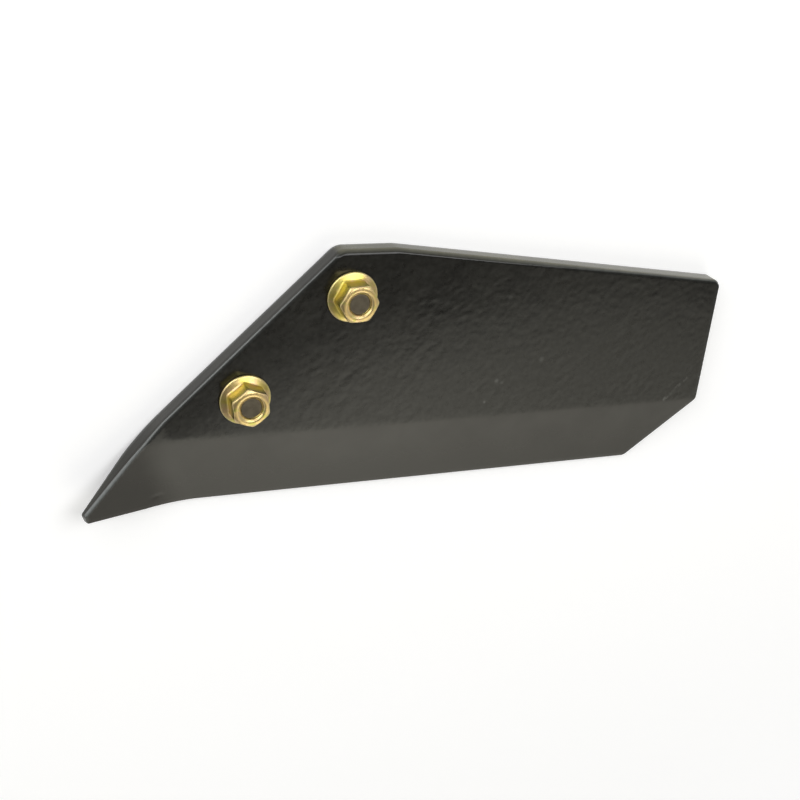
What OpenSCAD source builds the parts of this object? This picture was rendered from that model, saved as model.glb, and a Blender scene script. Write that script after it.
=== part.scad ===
// Wing of a cultivator sweep: a bevelled steel blade with a bent tip, held by plough bolts and flange nuts.
// It lies on its flat underside with the nuts up. +X runs along the cutting edge to the outer end,
// +Y points away from the cutting edge, and the origin is midway between the bolts on the underside.

/* [Blade plate] */
// Thickness of the plate
plate_t = 10; // [8:0.5:14]
// Bolts' middle to the top edge
top_reach = 48.7; // [44:0.1:60]
// Bolts' middle to the cutting edge
edge_reach = 82.5; // [76:0.5:100]
// Bolts' middle to the outer end
outer_reach = 240.5; // [180:0.5:320]
// Bolt line to the slanted inner edge, which run side by side
inner_inset = 21.75; // [18:0.25:26]
// Bolts' middle to the corner where the top edge starts to fall, along X
shoulder_x = 48; // [40:1:80]
// Fall of the top edge towards the outer end, in degrees
top_fall = 7.2; // [2:0.1:10]
// Size of the clipped outer corner
corner_clip = 36; // [20:1:50]
// Rounding of the corners at the outer end
corner_r = 4; // [1:0.5:8]
// Rounding of the corner where the inner edge meets the top edge
top_r = 9; // [2:0.5:14]
// Rounding where the top edge starts to fall
shoulder_r = 25; // [10:5:100]

/* [Cutting edge] */
// Width of the bevel ground on the nut side
bevel_w = 36.5; // [25:0.5:42]
// Thickness left at the cutting edge
edge_t = 2.5; // [1.5:0.5:5]

/* [Bent tip] */
// Bolts' middle to the middle of the bend, along X on the bevel line
bend_x = 72; // [64:1:90]
// Turn of the bend line from square to the cutting edge, in degrees
bend_skew = 22; // [10:1:30]
// Angle that the tip is bent up, in degrees
bend_angle = 19; // [5:1:30]
// Bend radius on the nut side
bend_r = 67; // [30:1:90]
// Extra slant of the inner edge beyond the bend, in degrees
tip_turn = 3.5; // [0:0.5:8]
// Width of the blunt tip
tip_w = 5; // [3:0.5:12]

/* [Bolts] */
// Distance between the bolts
bolt_spacing = 72; // [60:1:90]
// Angle of the bolt line to the cutting edge, in degrees
bolt_line = 45; // [40:1:50]
// Thread diameter
thread_d = 12; // [10:1:14]
// Diameter of the countersunk head
head_d = 24; // [22:0.5:27]
// Height of the straight band round the head
head_band = 1; // [0.5:0.25:2]
// Included angle of the countersunk head, in degrees
head_angle = 90; // [80:5:100]
// Depth of the head below the underside
head_sink = 0.3; // [0.1:0.1:1]
// Depth of the bolt end below the top of the nut
end_recess = 1; // [0.5:0.25:3]
// Chamfer of the bolt end
end_chamfer = 0.9; // [0.4:0.1:1.5]

/* [Flange nuts] */
// Width across the flats of the hexagon
nut_af = 18; // [17:0.5:21]
// Height of the nut
nut_h = 12; // [10:0.5:15]
// Diameter of the flange
flange_d = 26; // [24:0.5:32]
// Thickness of the flange at its rim
flange_rim = 1.8; // [1.2:0.1:3]
// Slope of the flange's upper side, in degrees
flange_slope = 20; // [10:1:30]
// Diameter of the flat face on the crown
crown_d = 17; // [16.5:0.1:17.8]
// Slope of the chamfer round the crown, in degrees
crown_slope = 30; // [15:1:40]
// Chamfer at the mouth of the bore
bore_chamfer = 0.7; // [0.3:0.1:1.2]
// Turn of the upper nut's hexagon, in degrees
upper_nut_turn = 3; // [0:1:60]
// Turn of the lower nut's hexagon, in degrees
lower_nut_turn = 40; // [0:1:60]

/* [Fits] */
// Gap between the bolt head with its neck and the blade
neck_gap = 0.15; // [0.1:0.05:0.5]
// Gap between the bolt's shank and the nut's bore
thread_gap = 0.05; // [0.03:0.01:0.2]

/* [Hidden] */
$fn = 96;

// Flat steps that stand for one rounded outline corner
corner_steps = 6;
// Sections along the bend
bend_steps = 12;
// Reach of the cutting shapes past the plate
over = 4;
// Reach of the shapes that are trimmed to the plate's outline
reach = 2 * outer_reach;
// Reach of the outline and the bevel past the outer end
far = 10 * outer_reach;

// Lines of the blade
cut_y = -edge_reach;
bevel_y = cut_y + bevel_w;
bevel_drop = plate_t - edge_t;
shoulder = [shoulder_x, top_reach];
outer_top = [outer_reach, top_reach - (outer_reach - shoulder_x) * tan(top_fall)];
clip_bottom = [outer_reach - corner_clip, cut_y];
clip_top = [outer_reach, cut_y + corner_clip];

// Unit vectors along the bolt line and from it to the inner edge
bolt_dir = [cos(bolt_line), sin(bolt_line)];
inner_dir = [-sin(bolt_line), cos(bolt_line)];
upper_bolt = bolt_dir * bolt_spacing / 2;
lower_bolt = -upper_bolt;

// Frame of the bend: across it towards the tip, and along it towards the cutting edge
bend_heading = 180 + bend_skew;
across = [cos(bend_heading), sin(bend_heading)];
along = [-sin(bend_heading), cos(bend_heading)];
bend_len = bend_r * bend_angle * PI / 180;
bend_start = [-bend_x, bevel_y] - across * bend_len / 2;

// Where the start of the bend meets the inner edge and the cutting edge, measured along it
inner_v = (inner_inset - bend_start * inner_dir) / (along * inner_dir);
edge_v = (cut_y - bend_start.y) / along.y;
inner_corner = bend_start + along * inner_v;
edge_corner = bend_start + along * edge_v;

// The inner edge, its slant beyond the bend and the cutting edge as slopes over the way across the bend
tip_dir = [cos(bolt_line + tip_turn), sin(bolt_line + tip_turn)];
inner_slope = (bolt_dir * along) / (bolt_dir * across);
tip_slope = (tip_dir * along) / (tip_dir * across);
edge_slope = along.x / across.x;
tip_end = (edge_v - inner_v - tip_w) / (tip_slope - edge_slope);

// Ways across the bend at which the outline and the bevel have their sections, in turn
bend_step = bend_len / bend_steps;
outline_stations = [-far, 0, for (i = [0:bend_steps]) bend_step * (i + 3 / 4), tip_end];
bevel_stations = [for (i = [0:bend_steps]) bend_step * (i + 1 / 4), tip_end + over];

// Top left corner, where the inner edge meets the top edge
top_left = [(top_reach * inner_dir.y - inner_inset) / -inner_dir.x, top_reach];

// Bolt heights above the underside
cone_angle = head_angle / 2;
cone_base = head_sink + head_band;
cone_h = (head_d - thread_d) / 2 / tan(cone_angle);
neck_w = thread_d;
bolt_end = plate_t + nut_h - end_recess;

// Flange nut sizes
hex_r = nut_af / 2 / cos(30);
crown_drop = (hex_r - crown_d / 2) * tan(crown_slope);
rim_r = flange_rim / 2;
rim_x = flange_d / 2 - rim_r;
flange_top = flange_rim + (rim_x - nut_af / 2) * tan(flange_slope);

function unit(v) = v / norm(v);

// Points of an arc of radius r that rounds the corner between its two neighbours
function rounded(before, corner, after, r) =
    let (
        a = unit(before - corner),
        b = unit(after - corner),
        half = acos(a * b) / 2,
        centre = corner + unit(a + b) * r / sin(half),
        from = corner + a * r / tan(half) - centre,
        to = corner + b * r / tan(half) - centre
    )
    [for (i = [0:corner_steps]) centre + r * unit(from * (1 - i / corner_steps) + to * i / corner_steps)];

// Depth of the bevel below the nut side at a distance y along Y
function bevel_depth(y) = (bevel_y - y) / bevel_w * bevel_drop;

// Point a way past the end of a line from one point to another
function run_on(from, to, way) = to + unit(to - from) * way;

// Point of the bent plate, from its way s across the bend, its place v along it and its depth
function bent(s, v, depth) =
    let (
        angle = min(max(s / bend_len, 0), 1) * bend_angle,
        straight = max(s - bend_len, 0)
    )
    [
        min(s, 0) + (bend_r + depth) * sin(angle) + straight * cos(angle),
        v,
        bend_r - (bend_r + depth) * cos(angle) + straight * sin(angle)
    ];

// Depth of the bevel at a place in the bend's frame
function bevel_at(s, v) = bevel_depth((bend_start + across * s + along * v).y);

// Section between two lines along the bend and two depths at each of them
function section(s, v0, v1, top, low0, low1) =
    [bent(s, v0, top), bent(s, v1, top), bent(s, v1, low1), bent(s, v0, low0)];

// Places of the blade's two edges at a way s across the bend
function inner_at(s) = inner_v + (s < 0 ? inner_slope : tip_slope) * s;
function edge_at(s) = edge_v + edge_slope * s;

// Section between the blade's two edges, past both faces of the plate
function outline_section(s) = section(s, inner_at(s), edge_at(s), -over, plate_t + over, plate_t + over);

// Section of what the bevel takes away, past both edges
function bevel_section(s) =
    let (v0 = inner_at(s) - over, v1 = edge_at(s) + over)
    section(s, v0, v1, -2 * over, bevel_at(s, v0), bevel_at(s, v1));

// Far section of what the bevel takes away, beyond the outer end and just outside the cutting edge
function far_bevel_section() =
    let (v1 = edge_at(-far) + over, v0 = v1 - over)
    section(-far, v0, v1, -2 * over, bevel_at(-far, v0), bevel_at(-far, v1));

// Solid through a row of four-cornered sections
module loft(sections) {
    last = len(sections) - 1;
    sides = [
        for (i = [0:last - 1])
            for (k = [0:3])
                let (a = 4 * i + k, b = 4 * i + (k + 1) % 4)
                    each [[a, b, b + 4], [a, b + 4, a + 4]]
    ];
    cap = [[2, 1, 0], [3, 2, 0]];
    end_cap = [for (face = cap) [for (k = [2:-1:0]) face[k] + 4 * last]];
    polyhedron([for (part = sections) each part], concat(sides, cap, end_cap));
}

// Plate bent round the bend's axis, wider and longer than the blade
module bent_plate() {
    translate([0, 0, bend_r])
        rotate([90, 0, 0])
            rotate(-90) {
                translate([bend_r, -reach, -reach])
                    cube([plate_t, reach, 2 * reach]);
                rotate_extrude(angle = bend_angle, $fn = 360)
                    translate([bend_r, -reach])
                        square([plate_t, 2 * reach]);
                rotate(bend_angle)
                    translate([bend_r, 0, -reach])
                        cube([plate_t, tip_end, 2 * reach]);
            }
}

// Plate between the inner edge and the cutting edge, bent and bevelled
module bevelled_plate() {
    translate([bend_start.x, bend_start.y, plate_t])
        rotate(bend_heading)
            difference() {
                intersection() {
                    bent_plate();
                    loft([for (s = outline_stations) outline_section(s)]);
                }
                loft(concat([far_bevel_section()], [for (s = bevel_stations) bevel_section(s)]));
            }
}

// Outline of the top edge, the outer end and the clipped corner, open past the two other edges
module top_and_end() {
    clip_round = rounded(edge_corner, clip_bottom, clip_top, corner_r);
    top_round = rounded(shoulder, top_left, inner_corner, top_r);
    polygon(concat(
        [run_on(clip_round[1], clip_round[0], corner_clip)],
        clip_round,
        rounded(clip_bottom, clip_top, outer_top, corner_r),
        rounded(clip_top, outer_top, shoulder, corner_r),
        rounded(outer_top, shoulder, top_left, shoulder_r),
        top_round,
        [run_on(top_round[corner_steps - 1], top_round[corner_steps], corner_clip)],
        [[-reach, top_reach], [-reach, -reach]]
    ));
}

// Countersunk head and square neck, made larger by gap on every side
module head_and_neck(gap, bottom, top) {
    rotate_extrude()
        polygon([
            [0, bottom],
            [head_d / 2 + gap, bottom],
            [head_d / 2 + gap, cone_base],
            [thread_d / 2 + gap, cone_base + cone_h],
            [0, cone_base + cone_h]
        ]);
    translate([-neck_w / 2 - gap, -neck_w / 2 - gap, cone_base])
        cube([neck_w + 2 * gap, neck_w + 2 * gap, top - cone_base]);
}

module plough_bolt() {
    head_and_neck(0, head_sink, plate_t - neck_gap);
    rotate_extrude()
        polygon([
            [0, cone_base],
            [thread_d / 2 - thread_gap, cone_base],
            [thread_d / 2 - thread_gap, bolt_end - end_chamfer],
            [thread_d / 2 - end_chamfer, bolt_end],
            [0, bolt_end]
        ]);
}

module flange_nut() {
    difference() {
        union() {
            intersection() {
                cylinder(r = hex_r, h = nut_h, $fn = 6);
                rotate_extrude()
                    polygon([
                        [0, 0],
                        [hex_r + over, 0],
                        [hex_r + over, nut_h - crown_drop - over * tan(crown_slope)],
                        [crown_d / 2, nut_h],
                        [0, nut_h]
                    ]);
            }
            rotate_extrude() {
                polygon([
                    [0, 0],
                    [rim_x, 0],
                    [rim_x, flange_rim],
                    [nut_af / 2, flange_top],
                    [0, flange_top]
                ]);
                translate([rim_x, rim_r])
                    circle(rim_r);
            }
        }
        rotate_extrude()
            polygon([
                [0, -over],
                [thread_d / 2, -over],
                [thread_d / 2, nut_h - bore_chamfer],
                [thread_d / 2 + bore_chamfer + over, nut_h + over],
                [0, nut_h + over]
            ]);
    }
}

module wing_blade() {
    color("#2c2c2e")
        difference() {
            intersection() {
                bevelled_plate();
                translate([0, 0, -over])
                    linear_extrude(reach)
                        top_and_end();
            }
            for (place = [upper_bolt, lower_bolt])
                translate(place)
                    rotate(bolt_line)
                        head_and_neck(neck_gap, -over, plate_t + over);
        }
}

module plough_bolts() {
    color("#4c4b49")
        for (place = [upper_bolt, lower_bolt])
            translate(place)
                rotate(bolt_line)
                    plough_bolt();
}

module flange_nuts() {
    color("#c2a050") {
        translate([upper_bolt.x, upper_bolt.y, plate_t])
            rotate(upper_nut_turn)
                flange_nut();
        translate([lower_bolt.x, lower_bolt.y, plate_t])
            rotate(lower_nut_turn)
                flange_nut();
    }
}

wing_blade();
plough_bolts();
flange_nuts();
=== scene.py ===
"""Looks of one cultivator sweep wing: a painted blade with its plough bolts and flange nuts, lying on a pale floor."""

import logging
import math
from dataclasses import dataclass, field
from enum import Enum
from typing import Any, ClassVar, Optional

import bmesh
import bpy
import numpy as np
from mathutils import Matrix, Vector, geometry, noise


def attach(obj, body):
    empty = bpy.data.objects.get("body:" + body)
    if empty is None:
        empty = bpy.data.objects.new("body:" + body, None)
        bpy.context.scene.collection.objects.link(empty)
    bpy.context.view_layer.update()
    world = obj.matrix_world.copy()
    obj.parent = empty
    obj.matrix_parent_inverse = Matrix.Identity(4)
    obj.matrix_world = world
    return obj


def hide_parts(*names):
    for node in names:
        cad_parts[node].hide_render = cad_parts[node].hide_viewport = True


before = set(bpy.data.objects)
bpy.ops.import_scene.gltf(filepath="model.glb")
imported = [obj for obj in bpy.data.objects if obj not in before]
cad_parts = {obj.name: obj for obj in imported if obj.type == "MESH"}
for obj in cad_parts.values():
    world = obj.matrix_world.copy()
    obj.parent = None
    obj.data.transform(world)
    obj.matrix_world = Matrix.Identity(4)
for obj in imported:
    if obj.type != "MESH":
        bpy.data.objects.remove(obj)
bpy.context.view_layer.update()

LOG = logging.getLogger("sweep_wing")
MM = 0.001
WHITE = (1.0, 1.0, 1.0)
# Asks the triangulation for what lies inside the outline only
INSIDE_ONLY = 1

Colour = tuple[float, float, float]
Way = tuple[float, float, float]
Place = tuple[float, float]
Span = tuple[float, float]
Socket = bpy.types.NodeSocket
# Size of a lump, the slice through the noise, and its share
Lump = tuple[float, float, float]
# How far out or in, how far up or down, and how worn
Step = tuple[float, float, float]
# Radius and height, each one number or one for each turn, and how worn
Ring = tuple[Any, Any, float]


class Mark(Enum):
    """Values kept on a mesh's points for its finish to read."""

    EDGE = "edge"
    BEVEL = "bevel"
    SIDE = "side"


class Fill(Enum):
    """How far apart the points inside an outline are, in millimetres."""

    FINE = 0.86
    COARSE = 7.0


def unit(v: np.ndarray) -> np.ndarray:
    """Returns the vector at length one."""
    return v / np.linalg.norm(v)


def heading(degrees: float) -> np.ndarray:
    """Returns the unit vector in the plane at an angle from +X."""
    return np.array([math.cos(math.radians(degrees)), math.sin(math.radians(degrees))])


def left_of(way: np.ndarray) -> np.ndarray:
    """Returns the vector a quarter turn to the left."""
    return np.array([-way[1], way[0]])


def left_of_rows(ways: np.ndarray) -> np.ndarray:
    """Returns a unit vector a quarter turn to the left of each row."""
    ahead = ways / np.linalg.norm(ways, axis=1)[:, None]
    return np.column_stack([-ahead[:, 1], ahead[:, 0]])


def ease(low: float, high: float, x: np.ndarray) -> np.ndarray:
    """Returns a smooth step from 0 at low to 1 at high."""
    t = np.clip((x - low) / (high - low), 0.0, 1.0)
    return t * t * (3.0 - 2.0 * t)


def ripple(points: np.ndarray, size: float, level: float) -> np.ndarray:
    """Smooth noise over places in the plane.

    Args:
        points: Places in millimetres, one row each.
        size: Size of one lump in millimetres.
        level: Height of the slice through the noise.

    Returns:
        One value for each place, about -1 to 1.
    """
    return np.array([noise.noise(Vector((x / size, y / size, level))) for x, y in points])


class Shell:
    """Points and faces of one piece while it is put together, in millimetres."""

    def __init__(self) -> None:
        """Starts an empty shell."""
        self.points: list[np.ndarray] = []
        self.faces: list[tuple[int, ...]] = []
        self.marks: dict[Mark, list[np.ndarray]] = {mark: [] for mark in Mark}
        self.count = 0

    def add(self, points: np.ndarray, edge: Any = 0.0, bevel: Any = 0.0, side: Any = 0.0) -> np.ndarray:
        """Adds points.

        Args:
            points: Places, one row each.
            edge: How worn each point is as an edge, 0 to 1; on the blade's rim this also carries a painted highlight.
            bevel: How far each point lies on the ground bevel, 0 to 1.
            side: How strong the painted sheen of a side is at each point, 0 to 1.

        Returns:
            The numbers of the new points.
        """
        size = len(points)
        self.points.append(points)
        for mark, value in ((Mark.EDGE, edge), (Mark.BEVEL, bevel), (Mark.SIDE, side)):
            self.marks[mark].append(np.broadcast_to(value, size))
        self.count += size
        return np.arange(self.count - size, self.count)

    def bridge(self, rows: list[np.ndarray]) -> None:
        """Joins closed rows of as many points each with four-sided faces.

        Args:
            rows: Point numbers of each row in turn.
        """
        for low, high in zip(rows, rows[1:]):
            corners = (low, np.roll(low, -1), np.roll(high, -1), high)
            self.faces += zip(*(corner.tolist() for corner in corners))

    def cap(self, row: np.ndarray, centre: np.ndarray) -> None:
        """Closes a row with a fan of triangles about one point."""
        middle = int(self.add(centre[None])[0])
        self.faces += zip(row.tolist(), np.roll(row, -1).tolist(), [middle] * len(row))

    def piece(self, name: str) -> bpy.types.Object:
        """Makes the shell into a smooth object with its marks.

        Args:
            name: Name of the object.

        Returns:
            The new object, linked to the scene.
        """
        mesh = bpy.data.meshes.new(name)
        mesh.from_pydata((np.vstack(self.points) * MM).tolist(), [], self.faces)
        work = bmesh.new()
        work.from_mesh(mesh)
        bmesh.ops.recalc_face_normals(work, faces=work.faces)
        work.to_mesh(mesh)
        work.free()
        mesh.polygons.foreach_set("use_smooth", np.ones(len(mesh.polygons), bool))
        for mark, values in self.marks.items():
            layer = mesh.attributes.new(mark.value, "FLOAT", "POINT")
            layer.data.foreach_set("value", np.concatenate(values).astype(np.float32))
        mesh.update()
        made = bpy.data.objects.new(name, mesh)
        bpy.context.scene.collection.objects.link(made)
        return made


class Nodes:
    """A node tree with short ways to add and link nodes."""

    def __init__(self, tree: bpy.types.NodeTree) -> None:
        """Takes the tree to build in."""
        self.tree = tree

    def add(self, kind: str, settings: Optional[dict[str, Any]] = None, **inputs: Any) -> bpy.types.Node:
        """Adds one node.

        Args:
            kind: Type name of the node.
            settings: Properties of the node.
            inputs: Values or sockets for inputs, by name with _ for a space, or by number as in i0.

        Returns:
            The new node.
        """
        made = self.tree.nodes.new(kind)
        for key, value in (settings or {}).items():
            setattr(made, key, value)
        for key, value in inputs.items():
            number = key[1:]
            socket = made.inputs[int(number) if key[0] == "i" and number.isdigit() else key.replace("_", " ")]
            if isinstance(value, Socket):
                self.tree.links.new(value, socket)
            else:
                socket.default_value = value
        return made

    def math(self, operation: str, *values: Any) -> Socket:
        """Adds a math node and returns its result."""
        inputs = {f"i{number}": value for number, value in enumerate(values)}
        return self.add("ShaderNodeMath", {"operation": operation}, **inputs).outputs[0]

    def vector(self, operation: str, output: str, **inputs: Any) -> Socket:
        """Adds a vector math node and returns one of its outputs."""
        return self.add("ShaderNodeVectorMath", {"operation": operation}, **inputs).outputs[output]

    def axes(self, place: Socket) -> bpy.types.NodeOutputs:
        """Splits a vector and returns its X, Y and Z."""
        return self.add("ShaderNodeSeparateXYZ", i0=place).outputs

    def mark(self, mark: Mark) -> Socket:
        """Reads a mark of the mesh."""
        return self.add("ShaderNodeAttribute", {"attribute_name": mark.value}).outputs["Fac"]

    def step(self, value: Any, low: float, high: float) -> Socket:
        """Adds a smooth step from 0 at low to 1 at high and returns its result."""
        settings = {"interpolation_type": "SMOOTHSTEP", "clamp": True}
        return self.add("ShaderNodeMapRange", settings, i0=value, i1=low, i2=high).outputs[0]

    def spread(self, value: Any, low: float, high: float, source: Span = (0.0, 1.0)) -> Socket:
        """Adds a straight run from low to high over a span of a value and returns its result."""
        return self.add("ShaderNodeMapRange", i0=value, i1=source[0], i2=source[1], i3=low, i4=high).outputs[0]

    def blend(self, share: Any, first: Any, second: Any) -> Socket:
        """Adds a mix of two numbers and returns its result."""
        return self.add("ShaderNodeMix", {"data_type": "FLOAT"}, i0=share, i2=first, i3=second).outputs[0]

    def mix(self, share: Any, first: Any, second: Any) -> Socket:
        """Adds a mix of two colours and returns its result."""
        first, second = (tint if isinstance(tint, Socket) else (*tint, 1.0) for tint in (first, second))
        return self.add("ShaderNodeMix", {"data_type": "RGBA"}, i0=share, i6=first, i7=second).outputs[2]

    def group(self, tree: bpy.types.NodeTree, **inputs: Any) -> bpy.types.NodeOutputs:
        """Places a node group with its own values and returns its outputs."""
        return self.add("ShaderNodeGroup", {"node_tree": tree}, **inputs).outputs

    def noise(self, place: Any, size: float, detail: float = 2.0) -> Socket:
        """Adds noise with lumps of a size in millimetres and returns its value."""
        return self.add("ShaderNodeTexNoise", Vector=place, Scale=1 / (size * MM), Detail=detail).outputs[0]


def new_material(name: str) -> tuple[bpy.types.Material, Nodes]:
    """Makes an empty material.

    Args:
        name: Name of the material.

    Returns:
        The material and its nodes.
    """
    material = bpy.data.materials.new(name)
    material.use_nodes = True
    material.node_tree.nodes.clear()
    return material, Nodes(material.node_tree)


def new_group(name: str, inputs: dict[str, float], outputs: list[str]) -> tuple[Nodes, bpy.types.NodeOutputs]:
    """Makes a shader node group with number sockets.

    Args:
        name: Name of the group.
        inputs: Names of the inputs with their usual values.
        outputs: Names of the outputs.

    Returns:
        The group's nodes and its inputs as sockets to link from.
    """
    tree = bpy.data.node_groups.new(name, "ShaderNodeTree")
    for label, value in inputs.items():
        tree.interface.new_socket(label, in_out="INPUT", socket_type="NodeSocketFloat").default_value = value
    for label in outputs:
        tree.interface.new_socket(label, in_out="OUTPUT", socket_type="NodeSocketFloat")
    nodes = Nodes(tree)
    return nodes, nodes.add("NodeGroupInput").outputs


def grain_group() -> bpy.types.NodeTree:
    """Makes the group for fine grain: a height for bumps and a slow mottle.

    Returns:
        The group, with lumps per metre as inputs.
    """
    nodes, given = new_group("fine_grain", {"Grain": 1500.0, "Mottle": 60.0}, ["Height", "Mottle"])
    place = nodes.add("ShaderNodeTexCoord").outputs["Object"]
    fine = nodes.add("ShaderNodeTexNoise", Vector=place, Scale=given["Grain"], Detail=3.0)
    slow = nodes.add("ShaderNodeTexNoise", Vector=place, Scale=given["Mottle"], Detail=4.0, Roughness=0.6)
    nodes.add("NodeGroupOutput", Height=fine.outputs[0], Mottle=slow.outputs[0])
    return nodes.tree


def wear_group(broken: Span = (-0.3, 0.6)) -> bpy.types.NodeTree:
    """Makes the group for worn edges: a mask from the edge mark, broken up by noise. On the blade the mark is partly a
    painted highlight.

    Args:
        broken: Span of the noise over which the mask comes in.

    Returns:
        The group, with the amount of wear and its breaks per metre as inputs.
    """
    nodes, given = new_group("worn_edges", {"Amount": 1.0, "Breaks": 300.0}, ["Mask"])
    place = nodes.add("ShaderNodeTexCoord").outputs["Object"]
    breaks = nodes.add("ShaderNodeTexNoise", Vector=place, Scale=given["Breaks"], Detail=3.0)
    share = nodes.math("MULTIPLY", nodes.mark(Mark.EDGE), nodes.step(breaks.outputs[0], *broken))
    nodes.add("NodeGroupOutput", Mask=nodes.math("MULTIPLY", share, given["Amount"]))
    return nodes.tree


@dataclass(frozen=True)
class Effects:
    """Node groups that the finishes share."""

    grain: bpy.types.NodeTree
    wear: bpy.types.NodeTree


@dataclass(frozen=True)
class Base:
    """What the shared effects give a finish: the grain's height, its slow mottle, and the mask of worn edges, on the
    blade partly a painted highlight.
    """

    grain: Socket
    mottle: Socket
    worn: Socket


@dataclass(frozen=True)
class Finish:
    """What every finish has: a name and its own values for the shared effects. Lengths in millimetres."""

    name: str
    grain_size: float = 0.6
    mottle_size: float = 16.0
    bump: float = 0.12
    bump_height: float = 0.1
    wear: float = 0.5

    def material(self, effects: Effects) -> bpy.types.Material:
        """Makes the material.

        Args:
            effects: Node groups to place in it.

        Returns:
            The finished material.
        """
        material, nodes = new_material(self.name)
        grain = nodes.group(effects.grain, Grain=1 / (self.grain_size * MM), Mottle=1 / (self.mottle_size * MM))
        worn = nodes.group(effects.wear, Amount=self.wear)
        height, inputs = self.look(nodes, Base(grain["Height"], grain["Mottle"], worn["Mask"]))
        bump = nodes.add("ShaderNodeBump", Strength=self.bump, Distance=self.bump_height * MM, Height=height)
        shader = nodes.add("ShaderNodeBsdfPrincipled", Normal=bump.outputs[0], **inputs)
        nodes.add("ShaderNodeOutputMaterial", Surface=shader.outputs[0])
        return material

    def look(self, nodes: Nodes, base: Base) -> tuple[Socket, dict[str, Any]]:
        """Adds the finish's own nodes.

        Args:
            nodes: Nodes of the material.
            base: What the shared effects give.

        Returns:
            The height for the bump, and the shader's inputs by name.
        """
        raise NotImplementedError


@dataclass(frozen=True)
class Speck:
    """A pale speck in the paint: its place, how far it reaches in millimetres, and how strong it is."""

    place: Place
    reach: float
    strength: float


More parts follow.
